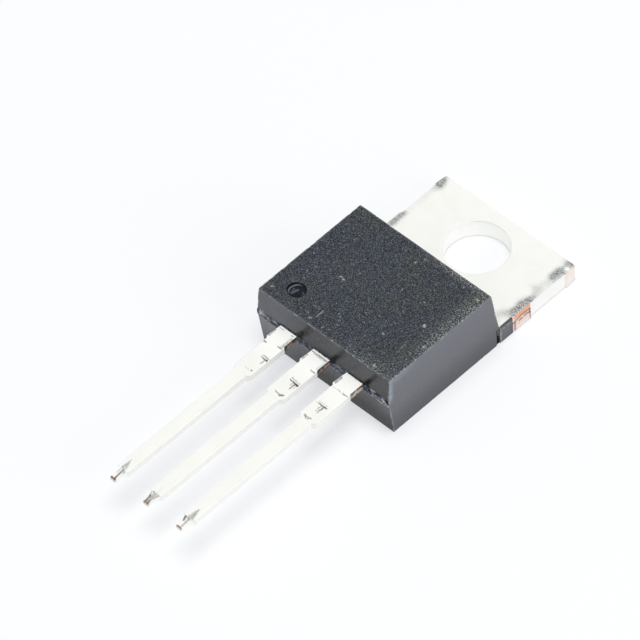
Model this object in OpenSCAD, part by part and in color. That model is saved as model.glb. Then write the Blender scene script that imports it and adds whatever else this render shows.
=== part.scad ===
// Three-lead voltage regulator in a moulded flat package with a bolt-down metal tab.
//
// Frame: the origin is the centre of the mounting hole, on the tab's back face.
// +Y runs to the tab's free end, -Y to the lead tips, +X across, +Z up through the
// thickness. The part lies on its back, on Z = 0.

/* [Moulded body] */
// Width of the body at the level of the leads
body_w = 10.12; // [9.8:0.02:10.7]
// Length of the body, from its back wall at the tab to its front wall at the leads
body_l = 8.87; // [8.6:0.01:9.4]
// Height of the body's top face above the tab's back
body_h = 4.5; // [4.3:0.05:5]
// Lean of the front wall above and below the leads, degrees
front_draft = 6.5; // [3:0.5:9]
// Lean of the back wall above the lead level, degrees
back_draft = 7.5; // [3:0.5:8]
// Lean of the back wall's foot, from the lead level down to the tab, degrees
foot_draft = 11; // [8:0.5:14]
// Lean of the side walls, degrees
side_draft = 0.6; // [0.4:0.2:2]
// How far the moulding flash stands out of the front wall beside the leads
flash = 0.08; // [0.04:0.02:0.14]
// Length of the moulded skins that cover the tab's sides behind the body
skin_l = 1.05; // [0.6:0.05:1.4]
// Thickness of those skins
skin_t = 0.1; // [0.08:0.01:0.14]
// Length of the groove between each skin and the body's side wall
groove_l = 0.28; // [0.2:0.02:0.5]
// Depth of that groove
groove_deep = 0.2; // [0.12:0.02:0.3]
// How far that groove runs up past the tab's top
groove_rise = 0.08; // [0.04:0.02:0.2]

/* [Dimple] */
// Diameter of the round dimple in the top face
dimple_d = 1.2; // [0.8:0.1:1.8]
// Depth of the dimple
dimple_deep = 0.14; // [0.08:0.02:0.3]
// From the body's left side to the dimple's centre
dimple_from_side = 1.67; // [1.25:0.01:2.4]
// From the body's front wall to the dimple's centre
dimple_from_front = 1.55; // [1.3:0.05:2.4]

/* [Tab] */
// Width of the tab
tab_w = 9.94; // [9.6:0.02:10.2]
// Thickness of the tab and of the header inside the body
tab_t = 1.27; // [1.15:0.01:1.4]
// From the mounting hole's centre to the tab's free end
hole_to_end = 2.75; // [2.54:0.01:3.2]
// From the mounting hole's centre to the body's back wall, at the tab
hole_to_body = 3.46; // [3.2:0.02:4]
// Diameter of the mounting hole
hole_d = 3.84; // [3.5:0.02:4]
// How far the sheared tie bars stand out of the tab's sides
tie_proud = 0.07; // [0.03:0.01:0.1]
// Length of the tie bar's shear on each side, just behind the moulded skin
side_tie_l = 1.45; // [0.8:0.05:1.6]
// Length of the tie bar's shear at each corner of the free end
corner_tie_l = 0.82; // [0.4:0.02:1]

/* [Header inside the body] */
// Width of the header
header_w = 8.8; // [8.5:0.1:9.2]
// How far the header's lip reaches out over the moulding that grips it
lip = 0.4; // [0.2:0.05:0.6]
// Height of the step under that lip
lip_z = 0.5; // [0.3:0.05:0.7]
// Number of locking grooves across the header's top
lock_count = 2; // [1:1:2]
// Width of each locking groove
lock_w = 0.4; // [0.2:0.05:0.45]
// Depth of each locking groove
lock_deep = 0.2; // [0.1:0.02:0.3]
// Distance between the locking grooves, and from the back wall to the first
lock_pitch = 0.55; // [0.5:0.05:0.6]

/* [Leads] */
// Distance between neighbouring leads
lead_pitch = 2.54; // [2.44:0.02:2.64]
// Thickness of the leads
lead_t = 0.46; // [0.36:0.02:0.56]
// Height of the leads' underside above the tab's back
lead_z = 2.51; // [2.4:0.01:2.7]
// Length of a lead outside the body
lead_l = 13.95; // [12.7:0.05:14.7]
// Width of a lead's shoulder
shoulder_w = 1.28; // [1.14:0.02:1.4]
// Length of the shoulder outside the body
shoulder_l = 3.75; // [3:0.05:6]
// Width of the narrow part of a lead
lead_w = 0.84; // [0.7:0.02:1]
// Length of the dam bar's trimmed stub, next to the body
stub_l = 1.15; // [0.8:0.05:1.4]
// Sideways shift of the trimmed stub against the shoulder
stub_shift = 0.06; // [0.02:0.01:0.1]
// Width of the nub at a lead's tip
nub_w = 0.38; // [0.3:0.02:0.5]
// Length of the nub
nub_l = 0.42; // [0.3:0.02:0.6]
// Length of the hollow shoulders that lead in to the nub
flare_l = 0.42; // [0.3:0.02:0.6]
// How much each face of a lead slopes in over its nub
nub_thin = 0.08; // [0.02:0.01:0.12]

/* [Centre lead's bend] */
// Width of the bent strip that joins the centre lead to the header
strip_w = 1.9; // [1.5:0.1:2.2]
// Steepness of the bend, degrees
bend_angle = 55; // [50:1:65]
// Radius of both bends, to the middle of the strip
bend_r = 0.5; // [0.35:0.05:0.6]
// Flat length of the lead between the bend and the front wall
bend_to_front = 0.35; // [0.2:0.05:0.5]

/* [Bond posts] */
// Width of the post at the inner end of each outer lead
post_w = 2.75; // [2.5:0.05:2.9]
// Length of the post
post_l = 1.4; // [1.2:0.05:1.6]
// Length of the neck between the post and the front wall
neck_l = 0.55; // [0.3:0.05:0.8]
// Gap between each post and the centre lead's strip
post_gap = 0.6; // [0.5:0.05:0.7]
// Diameter of the hole in the post that the moulding locks through
lock_hole_d = 0.6; // [0.4:0.05:0.7]

/* [Chip] */
// Width of the chip
chip_w = 2.6; // [2.2:0.1:3.2]
// Length of the chip
chip_l = 2.9; // [2.2:0.1:3.1]
// Thickness of the chip
chip_t = 0.3; // [0.2:0.02:0.4]
// From the header's front edge to the chip's front edge
chip_to_front = 1.6; // [1.5:0.05:1.7]
// Thickness of the solder under the chip
solder_t = 0.05; // [0.03:0.01:0.1]
// How far the solder reaches past the chip, all round
solder_edge = 0.12; // [0.05:0.01:0.2]

/* [Bond wires] */
// Diameter of the bond wires
wire_d = 0.25; // [0.15:0.01:0.25]
// How far a wire's loop turns between its feet, degrees
loop_angle = 110; // [90:5:130]
// Length of a wire's flattened foot
foot_l = 0.5; // [0.4:0.02:0.6]
// Width of a wire's flattened foot
foot_w = 0.36; // [0.32:0.01:0.4]
// Height of a wire's flattened foot
foot_t = 0.22; // [0.2:0.01:0.26]
// From the chip's edges to the middle of each foot on it
pad_inset = 0.45; // [0.4:0.01:0.6]

/* [Hidden] */
$fn = 48;
curve_steps = 8;
over = 1;

// Places along Y, from the mounting hole
back_y = -hole_to_body;
front_y = back_y - body_l;
skin_y = back_y + skin_l;
tip_y = front_y - lead_l;
post_front = front_y + neck_l;
post_back = post_front + post_l;

// Places along X, from the middle plane
body_x = body_w / 2;
tab_x = tab_w / 2;
tie_x = tab_x + tie_proud;
neck_x = tie_x - skin_t;
header_x = header_w / 2;
exposed_x = header_x - lip;
post_x = strip_w / 2 + post_gap + post_w / 2;

// Levels along Z
lead_top = lead_z + lead_t;
strip_z = tab_t - lead_t;
chip_z = tab_t + solder_t;
chip_top = chip_z + chip_t;

// The centre lead's bend: the length of its slope, and what it takes along Y
rise = lead_z - strip_z;
slope_l = (rise - 2 * bend_r * (1 - cos(bend_angle))) / sin(bend_angle);
bend_run = 2 * bend_r * sin(bend_angle) + slope_l * cos(bend_angle);
bend_top_y = front_y + bend_to_front;
bend_foot_y = bend_top_y + bend_run;
header_front = bend_foot_y + lip / 2;

// Where the chip lies and where its wires land
chip_front = header_front + chip_to_front;
pad_x = chip_w / 2 - pad_inset;
pad_y = chip_front + pad_inset;
post_landing_y = post_back - foot_l;
header_landing_y = header_front + foot_l;

// Points of a circular arc about c, from angle a0 to a1
function arc(c, r, a0, a1) =
    [for (i = [0:curve_steps])
        let (a = a0 + (a1 - a0) * i / curve_steps)
        c + r * [cos(a), sin(a)]];

// A half outline, from its first point up the +X side, closed by its mirror image
function mirrored(half) =
    concat(half, [for (i = [len(half) - 1:-1:0]) [-half[i].x, half[i].y]]);

// Extrudes an outline drawn in Y and Z across X, centred
module across(width) {
    rotate([90, 0, 90])
        linear_extrude(width, center = true)
            children();
}

// The body along its length: drafted walls, the flash at the lead level, a splayed back foot
module body_side_profile() {
    foot_y = back_y - (lead_z - tab_t) * tan(foot_draft);
    polygon([
        [front_y + lead_z * tan(front_draft), 0],
        [front_y, lead_z],
        [front_y - flash, lead_z],
        [front_y - flash, lead_top],
        [front_y, lead_top],
        [front_y + (body_h - lead_top) * tan(front_draft), body_h],
        [foot_y - (body_h - lead_z) * tan(back_draft), body_h],
        [foot_y, lead_z],
        [back_y, tab_t],
        [back_y, 0]
    ]);
}

// The body across its width: widest at the leads, drafted above and below them
module body_end_profile() {
    polygon(mirrored([
        [body_x - lead_z * tan(side_draft), 0],
        [body_x, lead_z],
        [body_x, lead_top],
        [body_x - (body_h - lead_top) * tan(side_draft), body_h]
    ]));
}

module body_form() {
    intersection() {
        across(body_w + over)
            body_side_profile();
        translate([0, back_y + over, 0])
            rotate([90, 0, 0])
                linear_extrude(body_l + 2 * over)
                    body_end_profile();
    }
}

// The moulded skins over the tab's sides, flush with both of its faces
module side_skins() {
    for (side = [-1, 1])
        translate([side > 0 ? exposed_x : -tie_x, back_y - groove_l, 0])
            cube([tie_x - exposed_x, groove_l + skin_l, tab_t]);
}

// The grooves between the skins and the body's side walls
module side_grooves() {
    for (side = [-1, 1])
        translate([side > 0 ? tie_x - groove_deep : -tie_x + groove_deep - over,
                   back_y - groove_l, -over])
            cube([over, groove_l, tab_t + groove_rise + over]);
}

module dimple() {
    translate([-body_x + dimple_from_side, front_y + dimple_from_front, body_h - dimple_deep])
        cylinder(d = dimple_d, h = dimple_deep + over);
}

// Header, neck and tab seen from above, with the sheared tie bars on the tab's sides
module spreader_outline() {
    polygon(mirrored([
        [header_x, header_front],
        [header_x, back_y],
        [neck_x, back_y],
        [neck_x, skin_y],
        [tie_x, skin_y],
        [tie_x, skin_y + side_tie_l],
        [tab_x, skin_y + side_tie_l],
        [tab_x, hole_to_end - corner_tie_l],
        [tie_x, hole_to_end - corner_tie_l],
        [tab_x, hole_to_end]
    ]));
}

// What is cut from the header's lower edge, so that the moulding grips it from below
module lip_undercut() {
    for (side = [-1, 1])
        translate([side > 0 ? exposed_x : -tie_x - over, header_front - over, -over])
            cube([tie_x + over - exposed_x, skin_y - header_front + over, lip_z + over]);
    translate([-tie_x, header_front - over, -over])
        cube([2 * tie_x, lip + over, lip_z + over]);
}

// The grooves across the header's top that stop the moulding from sliding off
module lock_grooves() {
    for (i = [1:lock_count])
        translate([0, back_y - i * lock_pitch, tab_t])
            across(header_w + over)
                polygon([[-lock_w / 2, 0], [0, -lock_deep], [lock_w / 2, 0], [0, over]]);
}

module spreader_plate() {
    difference() {
        linear_extrude(tab_t)
            spreader_outline();
        lip_undercut();
        lock_grooves();
        translate([0, 0, -over])
            cylinder(d = hole_d, h = tab_t + 2 * over);
    }
}

// A lead outside the body: trimmed stub, shoulder, narrow part, and a nub at the tip between
// hollow shoulders that are quarter ellipses
module lead_outline() {
    edge = concat(
        [[shoulder_w / 2, front_y - stub_l],
         [shoulder_w / 2, front_y - shoulder_l],
         [lead_w / 2, front_y - shoulder_l - (shoulder_w - lead_w) / 2]],
        [for (i = [0:curve_steps])
            let (a = 90 * i / curve_steps)
            [lead_w / 2 - (lead_w - nub_w) / 2 * sin(a), tip_y + nub_l + flare_l * cos(a)]],
        [[nub_w / 2, tip_y]]
    );
    polygon(mirrored(edge));
    translate([-shoulder_w / 2 - stub_shift, front_y - stub_l])
        square([shoulder_w, stub_l]);
}

// A straight lead seen from the side: flat, then coined thinner along its nub
module lead_side_profile() {
    coin_y = tip_y + nub_l + flare_l;
    polygon([
        [front_y, lead_z],
        [front_y, lead_top],
        [coin_y, lead_top],
        [tip_y, lead_top - nub_thin],
        [tip_y, lead_z + nub_thin],
        [coin_y, lead_z]
    ]);
}

module lead_blade() {
    intersection() {
        linear_extrude(body_h)
            lead_outline();
        across(shoulder_w + over)
            lead_side_profile();
    }
}

// The strip that climbs from the header to the lead level, seen from the side. Its middle
// line is an arc, a straight slope and an arc back to level.
module bend_profile() {
    foot = [bend_foot_y, strip_z + bend_r + lead_t / 2];
    top = [bend_top_y, lead_z - bend_r + lead_t / 2];
    inner = bend_r - lead_t / 2;
    outer = bend_r + lead_t / 2;
    root_y = header_front + lip;
    polygon(concat(
        [[root_y, strip_z]],
        arc(foot, outer, -90, -90 - bend_angle),
        arc(top, inner, 90 - bend_angle, 90),
        [[front_y, lead_z], [front_y, lead_top]],
        arc(top, outer, 90, 90 - bend_angle),
        arc(foot, inner, -90 - bend_angle, -90),
        [[root_y, tab_t]]
    ));
}

// The same strip from above: wide at the header, as wide as the trimmed stub in front
module strip_outline() {
    stub_x = shoulder_w / 2;
    root_x = strip_w / 2;
    polygon([
        [-stub_x - stub_shift, front_y], [-stub_x - stub_shift, bend_top_y],
        [-root_x, bend_foot_y], [-root_x, header_front + lip],
        [root_x, header_front + lip], [root_x, bend_foot_y],
        [stub_x - stub_shift, bend_top_y], [stub_x - stub_shift, front_y]
    ]);
}

module centre_strip() {
    intersection() {
        linear_extrude(body_h)
            strip_outline();
        across(strip_w + over)
            bend_profile();
    }
}

// Inner end of an outer lead: a neck and a wide post, drilled for the moulding to lock through
module bond_post(side) {
    neck_in = side * (lead_pitch - shoulder_w / 2) - stub_shift;
    neck_out = side * (lead_pitch + shoulder_w / 2) - stub_shift;
    post_in = side * (post_x - post_w / 2);
    post_out = side * (post_x + post_w / 2);
    difference() {
        translate([0, 0, lead_z])
            linear_extrude(lead_t)
                polygon([
                    [neck_in, front_y], [neck_in, post_front],
                    [post_in, post_front + neck_l / 2], [post_in, post_back],
                    [post_out, post_back], [post_out, post_front],
                    [neck_out, post_front], [neck_out, front_y]
                ]);
        translate([post_out - side * lock_hole_d, post_front + post_l / 2, 0])
            cylinder(d = lock_hole_d, h = body_h);
    }
}

module outer_lead(side) {
    union() {
        translate([side * lead_pitch, 0, 0])
            lead_blade();
        bond_post(side);
    }
}

module wire_foot() {
    translate([-foot_l / 2, -foot_w / 2, 0])
        cube([foot_l, foot_w, foot_t]);
}

// A wire looped in one arc between two flat feet. The arc's radius and centre follow from the
// chord between the feet and from the angle that the loop turns through.
module bond_wire(from, to) {
    span = norm([to.x - from.x, to.y - from.y]);
    climb = to.z - from.z;
    chord = norm([span, climb]);
    tilt = atan2(climb, span);
    loop_r = chord / (2 * sin(loop_angle / 2));
    translate(from)
        rotate([0, 0, atan2(to.y - from.y, to.x - from.x)])
            union() {
                wire_foot();
                translate([span, 0, climb])
                    wire_foot();
                translate([0, 0, foot_t / 2])
                    rotate([90, -tilt, 0])
                        translate([chord / 2, -loop_r * cos(loop_angle / 2), 0])
                            rotate([0, 0, 90 - loop_angle / 2])
                                rotate_extrude(angle = loop_angle)
                                    translate([loop_r, 0])
                                        circle(d = wire_d);
            }
}

module moulded_body() {
    color("#2a2c31")
        difference() {
            union() {
                body_form();
                side_skins();
            }
            side_grooves();
            dimple();
            heat_spreader();
            input_lead();
            output_lead();
            chip();
            chip_solder();
            input_wire();
            output_wire();
            ground_wire();
        }
}

module heat_spreader() {
    color("#dcddd6")
        union() {
            spreader_plate();
            centre_strip();
            lead_blade();
        }
}

module input_lead() {
    color("#e6e6de")
        outer_lead(-1);
}

module output_lead() {
    color("#e6e6de")
        outer_lead(1);
}

module chip() {
    color("#5d6473")
        translate([-chip_w / 2, chip_front, chip_z])
            cube([chip_w, chip_l, chip_t]);
}

module chip_solder() {
    color("#a9aaa8")
        translate([-chip_w / 2 - solder_edge, chip_front - solder_edge, tab_t])
            cube([chip_w + 2 * solder_edge, chip_l + 2 * solder_edge, solder_t]);
}

module input_wire() {
    color("#d5d7d8")
        bond_wire([-pad_x, pad_y, chip_top], [-lead_pitch, post_landing_y, lead_top]);
}

module output_wire() {
    color("#d5d7d8")
        bond_wire([pad_x, pad_y, chip_top], [lead_pitch, post_landing_y, lead_top]);
}

module ground_wire() {
    color("#d5d7d8")
        bond_wire([0, pad_y, chip_top], [0, header_landing_y, tab_t]);
}

moulded_body();
heat_spreader();
input_lead();
output_lead();
chip();
chip_solder();
input_wire();
output_wire();
ground_wire();
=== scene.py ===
"""Three-lead voltage regulator: tin-plated copper lead frame, bonded chip, moulded epoxy body."""
import itertools

import bpy
import numpy as np
from mathutils import Matrix, Vector


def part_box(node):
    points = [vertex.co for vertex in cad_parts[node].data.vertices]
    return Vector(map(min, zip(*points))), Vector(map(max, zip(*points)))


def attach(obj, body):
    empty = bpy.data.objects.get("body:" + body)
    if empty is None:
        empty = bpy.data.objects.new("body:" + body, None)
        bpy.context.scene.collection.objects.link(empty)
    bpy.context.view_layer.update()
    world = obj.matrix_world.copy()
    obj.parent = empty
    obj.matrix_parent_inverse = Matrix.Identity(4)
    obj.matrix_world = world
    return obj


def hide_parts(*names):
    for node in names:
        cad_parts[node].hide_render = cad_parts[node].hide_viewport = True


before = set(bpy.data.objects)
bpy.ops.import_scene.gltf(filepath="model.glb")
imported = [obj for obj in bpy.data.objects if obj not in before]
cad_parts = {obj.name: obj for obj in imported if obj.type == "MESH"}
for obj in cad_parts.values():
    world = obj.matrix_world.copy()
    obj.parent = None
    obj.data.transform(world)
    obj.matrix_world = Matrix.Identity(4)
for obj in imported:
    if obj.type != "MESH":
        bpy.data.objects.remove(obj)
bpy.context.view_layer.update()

# ---------------------------------------------------------------------------------------
# Heat spreader: thick copper strip with a thin step rolled into its edge. The thick part is
# the header and the bolt-down tab, punched from above, so its top edges are rolled over and
# its sides are sheared. The thin part bends up and becomes the centre lead.
# ---------------------------------------------------------------------------------------
MM = 0.001                          # sizes below are in millimetres
spreader_high = np.array(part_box("heat_spreader")[1]) / MM
body_low, body_high = (np.array(corner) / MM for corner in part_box("moulded_body"))
lead_low, lead_high = (np.array(corner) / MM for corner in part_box("input_lead"))

tab_t = 1.27                        # thick gauge
hole_r = 1.92
hole_lip = 0.07                     # where the punch drew the metal in at the hole
tie_x = spreader_high[0]            # sheared ends of the tie bars
tab_x = tie_x - 0.07
neck_x = tie_x - 0.10
header_x = 4.4
lip = 0.4                           # how far the header's lip reaches out over the moulding
lip_z = 0.5
tab_end = spreader_high[1]
skin_end = body_high[1]
back_y = skin_end - 1.05            # the body's back wall
header_front = -10.2
header_open_x = header_x - lip      # the bare soldering face under the lip
header_open_y = header_front + lip
side_tie_end = skin_end + 1.45
corner_tie_start = tab_end - 0.82
roll_w = 0.9                        # how far in the top edge rolls over
roll_drop = 0.045


def scatter_noise(points, size, seed=0):
    """Smooth noise from 0 to 1 with lumps of one size. Each corner of a cubic lattice gets a
    hashed value, and the eight corners round a point are blended with a smoothstep."""
    scaled = np.asarray(points, float) / size
    cell = np.floor(scaled).astype(np.int64)
    part = scaled - cell
    part = part * part * (3 - 2 * part)
    total = np.zeros(len(scaled))
    for corner in itertools.product((0, 1), repeat=3):
        x, y, z = (cell + corner).T
        mixed = (x * 73856093) ^ (y * 19349663) ^ (z * 83492791) ^ (seed * 2654435761)
        mixed = ((mixed ^ (mixed >> 13)) * 1274126177) & 0x7FFFFFFF
        value = ((mixed ^ (mixed >> 15)) & 0xFFFFF) / 0xFFFFF
        total += value * np.where(corner, part, 1 - part).prod(axis=1)
    return total


def fade(value, start, stop):
    """0 before start, 1 after stop, with a smooth ramp between. Start may lie past stop."""
    ramp = np.clip((value - start) / (stop - start), 0, 1)
    return ramp * ramp * (3 - 2 * ramp)


def spread(*stretches):
    """Sorted positions along one axis: each stretch (start, stop, step) is evenly divided."""
    rows = [np.linspace(a, b, max(2, 1 + round(abs(b - a) / step))) for a, b, step in stretches]
    return np.unique(np.round(np.concatenate(rows), 5))


def grid_quads(rows, columns, around=False, ring=False, first=0):
    """Quads of a grid of points stored row by row. Around joins the last column to the first,
    and ring joins the last row to the first."""
    i, j = np.meshgrid(np.arange(rows - (not ring)), np.arange(columns - (not around)), indexing="ij")
    down, across = (i + 1) % rows, (j + 1) % columns
    quads = np.stack([i * columns + j, i * columns + across,
                      down * columns + across, down * columns + j], -1)
    return quads.reshape(-1, 4) + first


def make_piece(name, points, faces, material, marks=None):
    """A smooth-shaded mesh object from points in millimetres, with one float attribute for each
    entry in marks, riding on the part's only body."""
    mesh = bpy.data.meshes.new(name)
    mesh.from_pydata((points * MM).tolist(), [], faces)
    for key, values in (marks or {}).items():
        mesh.attributes.new(key, "FLOAT", "POINT").data.foreach_set("value", values.astype(np.float32))
    mesh.polygons.foreach_set("use_smooth", np.ones(len(mesh.polygons), bool))
    mesh.set_sharp_from_angle(angle=np.radians(50))
    mesh.materials.append(material)
    mesh.validate()
    piece = bpy.data.objects.new(name, mesh)
    bpy.context.scene.collection.objects.link(piece)
    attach(piece, "root")
    return piece


def linear(hex_colour):
    """sRGB hex to the linear colour that a shader socket takes."""
    channels = np.array([int(hex_colour[i:i + 2], 16) for i in (1, 3, 5)]) / 255
    channels = np.where(channels <= 0.04045, channels / 12.92, ((channels + 0.055) / 1.055) ** 2.4)
    return (*channels, 1)


def add(tree, kind, links=None, **settings):
    """Adds one node. Settings that are inputs go on sockets, the rest on the node itself, and
    links join sockets, by name or number, to other nodes' outputs."""
    node = tree.nodes.new("ShaderNode" + kind)
    for key, value in settings.items():
        if hasattr(node, key) and key != "Color":
            setattr(node, key, value)
        else:
            node.inputs[key.replace("_", " ")].default_value = value
    for key, output in (links or {}).items():
        tree.links.new(output, node.inputs[key])
    return node


def new_material(name):
    """An empty node material with a Principled shader on its output."""
    material = bpy.data.materials.new(name)
    material.use_nodes = True
    tree = material.node_tree
    tree.nodes.clear()
    shader = tree.nodes.new("ShaderNodeBsdfPrincipled")
    output = tree.nodes.new("ShaderNodeOutputMaterial")
    tree.links.new(shader.outputs[0], output.inputs["Surface"])
    return material, tree, shader


def grain(tree, size_mm, detail=2.0, roughness=0.5, stretch=(1, 1, 1)):
    """A Noise node whose lumps measure size_mm on Object coordinates."""
    place = add(tree, "TexCoord")
    scaled = add(tree, "Mapping", {"Vector": place.outputs["Object"]}, Scale=stretch)
    return add(tree, "TexNoise", {"Vector": scaled.outputs[0]},
               Scale=1 / (size_mm * MM), Detail=detail, Roughness=roughness).outputs[0]


def remap(tree, value, low, high, to_low=0.0, to_high=1.0):
    """A Map Range node that takes low..high to to_low..to_high, clamped and smooth."""
    node = add(tree, "MapRange", {"Value": value}, interpolation_type="SMOOTHSTEP",
               From_Min=low, From_Max=high, To_Min=to_low, To_Max=to_high)
    return node.outputs[0]


def times(tree, a, b):
    """The product of two outputs."""
    return add(tree, "Math", {0: a, 1: b}, operation="MULTIPLY").outputs[0]


def blend(tree, amount, a, b):
    """Mixes colour a towards colour b. Each is an output or a hex colour. Where the result goes to
    a plain number, such as a roughness, a grey's linear value is that number."""
    node = add(tree, "Mix", {0: amount}, data_type="RGBA")
    for socket, colour in ((6, a), (7, b)):
        if isinstance(colour, str):
            node.inputs[socket].default_value = linear(colour)
        else:
            tree.links.new(colour, node.inputs[socket])
    return node.outputs[2]


def mark(tree, name):
    """Reads a float attribute of the mesh."""
    return add(tree, "Attribute", attribute_name=name).outputs["Fac"]


def tin_plated_copper():
    """Matte electroplated tin over rolled copper strip. The plating is nearly white and scatters
    most of the light, and is painted whiter where it would fall into shade. It is bruised grey where
    the punch dragged it, with painted dark reflections along the plate's rolled edges and near the
    lead tips. Where the bars that held the frame together were sheared off after plating, the bare
    copper shows pink, orange where it was rubbed, and grey-brown where it has tarnished and where
    painted shade darkens it."""
    material, tree, shader = new_material("tin_plated_copper")
    cloud = remap(tree, grain(tree, 1.1, detail=3), 0.3, 0.75)
    plating = blend(tree, cloud, "#F8F8F2", "#F5F5EF")
    # painted light: plating painted whiter on the sides, the ends, the hole's wall and near the body,
    # against their shade
    plating = blend(tree, mark(tree, "painted_light"), plating, "#FFFFFB")
    # drag lines are about 0.02 mm apart, too fine to show, so they are drawn 0.09 mm apart
    hairs = grain(tree, 0.09, detail=4, roughness=0.8)
    # grey bruises, together with painted dark reflections along the plate's rolled edges and near the lead
    # tips
    bruise_and_reflection = times(tree, mark(tree, "bruise_and_reflection"), remap(tree, hairs, 0.37, 0.64, 0.35, 1.0))
    plating = blend(tree, bruise_and_reflection, plating, "#36434B")
    crumbs = remap(tree, grain(tree, 0.08, detail=3), 0.35, 0.7)
    copper = blend(tree, crumbs, "#F7E6DC", "#E3C2B3")
    copper = blend(tree, mark(tree, "burnish"), copper, "#EDAC88")
    # tarnished copper, darkened on the leads' cut sides with painted shade
    copper = blend(tree, mark(tree, "tarnish_and_shade"), copper, blend(tree, crumbs, "#78736A", "#A39D94"))
    colour = blend(tree, mark(tree, "bare"), plating, copper)
    # dark stain colour, also laid as painted shade in the dents, by the skins and at the foot of the tab's
    # sides
    dirt_and_shade = blend(tree, mark(tree, "tarnish_and_shade"), "#7A3F26", "#2B211A")
    dirt_and_shade = blend(tree, mark(tree, "bare"), "#37261C", dirt_and_shade)
    colour = blend(tree, mark(tree, "stain_and_shade"), colour, dirt_and_shade)
    tree.links.new(colour, shader.inputs["Base Color"])
    metal = remap(tree, mark(tree, "painted_light"), 0, 1, 0.15, 0.03)
    tree.links.new(blend(tree, mark(tree, "polish"), metal, "#DEDEDE"), shader.inputs["Metallic"])
    satin = remap(tree, grain(tree, 0.35, detail=4), 0.3, 0.7, 0.46, 0.54)
    tree.links.new(blend(tree, mark(tree, "polish"), satin, "#909090"), shader.inputs["Roughness"])
    # rolling lines along the strip, drawn coarser than the real ones of about 0.01 mm
    rolled = grain(tree, 0.06, detail=3, stretch=(1, 0.15, 1))
    bump = add(tree, "Bump", {"Height": rolled}, Strength=0.1, Distance=0.002 * MM)
    tree.links.new(bump.outputs[0], shader.inputs["Normal"])
    return material


def plate_outline():
    """The plate's edge seen from above, anticlockwise from the middle of the free end. It is a
    polyline divided into short even steps that always keep its corners."""
    half = np.array([
        [0, tab_end], [tab_x, tab_end], [tie_x, corner_tie_start], [tab_x, corner_tie_start - 0.02],
        [tab_x, side_tie_end + 0.02], [tie_x, side_tie_end], [tie_x, skin_end],
        [neck_x, skin_end - 0.02], [neck_x, back_y], [header_x, back_y - 0.02],
        [header_x, header_front], [0, header_front]])[::-1]
    corners = np.concatenate([half[:-1], half[::-1] * [-1, 1]])
    runs = []
    for a, b in zip(corners[:-1], corners[1:]):
        inside = max(a[1], b[1]) <= back_y
        steps = max(1, round(np.linalg.norm(b - a) / (0.3 if inside else 0.055)))
        runs.append(a + (b - a) * np.arange(steps)[:, None] / steps)
    return np.concatenate(runs)


def spreader_plate():
    """Header and tab as one closed ring of sections. Each section runs up the hole's wall, over
    its lip, out across the top to the outline, over the rolled edge, down the sheared side and
    back under to the hole. A point is the outline point, the hole point in the same direction,
    and the share of the way between them."""
    edge = plate_outline()
    hole = hole_r * edge / np.linalg.norm(edge, axis=1, keepdims=True)
    ahead, behind = np.roll(edge, -1, axis=0), np.roll(edge, 1, axis=0)
    along = (ahead - edge) / np.linalg.norm(ahead - edge, axis=1, keepdims=True)
    along += (edge - behind) / np.linalg.norm(edge - behind, axis=1, keepdims=True)
    along /= np.linalg.norm(along, axis=1, keepdims=True)
    outward = np.stack([along[:, 1], -along[:, 0]], 1)
    reach = np.linalg.norm(edge - hole, axis=1)

    turn = np.linspace(0, np.pi / 2, 6)
    top_share = 1 - (1 - np.linspace(0, 1, 34)) ** 1.8
    wall_z = np.linspace(0.05, tab_t - hole_lip, 6)
    side_z = np.linspace(tab_t - roll_drop - 0.04, 0.02, 26)
    sections = [(0, 0, 0, z) for z in wall_z]
    sections += [(0, 0, hole_lip * (1 - np.cos(a)), tab_t - hole_lip * (1 - np.sin(a))) for a in turn[1:]]
    sections += [(share, 0.02, hole_lip * (1 - share), tab_t) for share in top_share[1:]]
    sections += [(1, 0, 0, z) for z in side_z]
    sections += [(1, 0.02, 0, 0), (0.6, 0, 0, 0), (0.25, 0, 0, 0), (0, 0, 0.03, 0)]
    share, inset, gap, z = np.array(sections).T

    flat = hole[None] + share[:, None, None] * (edge - hole)[None]
    flat -= inset[:, None, None] * share[:, None, None] * outward[None]
    flat += gap[:, None, None] * (hole / hole_r)[None]
    points = np.dstack([flat, np.broadcast_to(z[:, None], flat.shape[:2])])

    # the rolled edge: the top falls away over the last stretch before the outline
    from_edge = (1 - share)[:, None] * reach[None]
    on_top = (z[:, None] >= tab_t - 1e-6) & (share[:, None] > 0)
    outside = fade(edge[:, 1], back_y - 0.3, back_y)
    roll = np.clip(1 - from_edge / roll_w, 0, 1) ** 3
    points[..., 2] -= np.where(on_top, roll_drop * roll * outside, 0)

    # sheared sides: the lower part broke away and is a little rough
    on_side = (share[:, None] == 1) & (np.abs(points[..., 2] - tab_t / 2) < tab_t / 2 - 0.03)
    rough = scatter_noise(points.reshape(-1, 3), 0.12, 3).reshape(points.shape[:2]) - 0.5
    broken = np.where(on_side, fade(points[..., 2], 0.9, 0.7), 0) * outside
    points[..., :2] -= (broken * (0.012 + 0.02 * rough))[..., None] * outward[None]

    # the lip: below it the edge steps in, all round the header and under the moulded skins
    below = (share[:, None] == 1) & (points[..., 2] < lip_z)
    gripped = below & (edge[:, 1] < skin_end - 0.01)
    half = np.maximum(np.abs(edge[:, 0]), header_x)
    points[..., 0] *= np.where(gripped, header_open_x / half, 1)
    back = np.clip((edge[:, 1] - back_y) / (header_front - back_y), 0, 1)
    points[..., 1] += np.where(gripped, lip * back, 0)
    return points, from_edge, on_top


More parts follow.
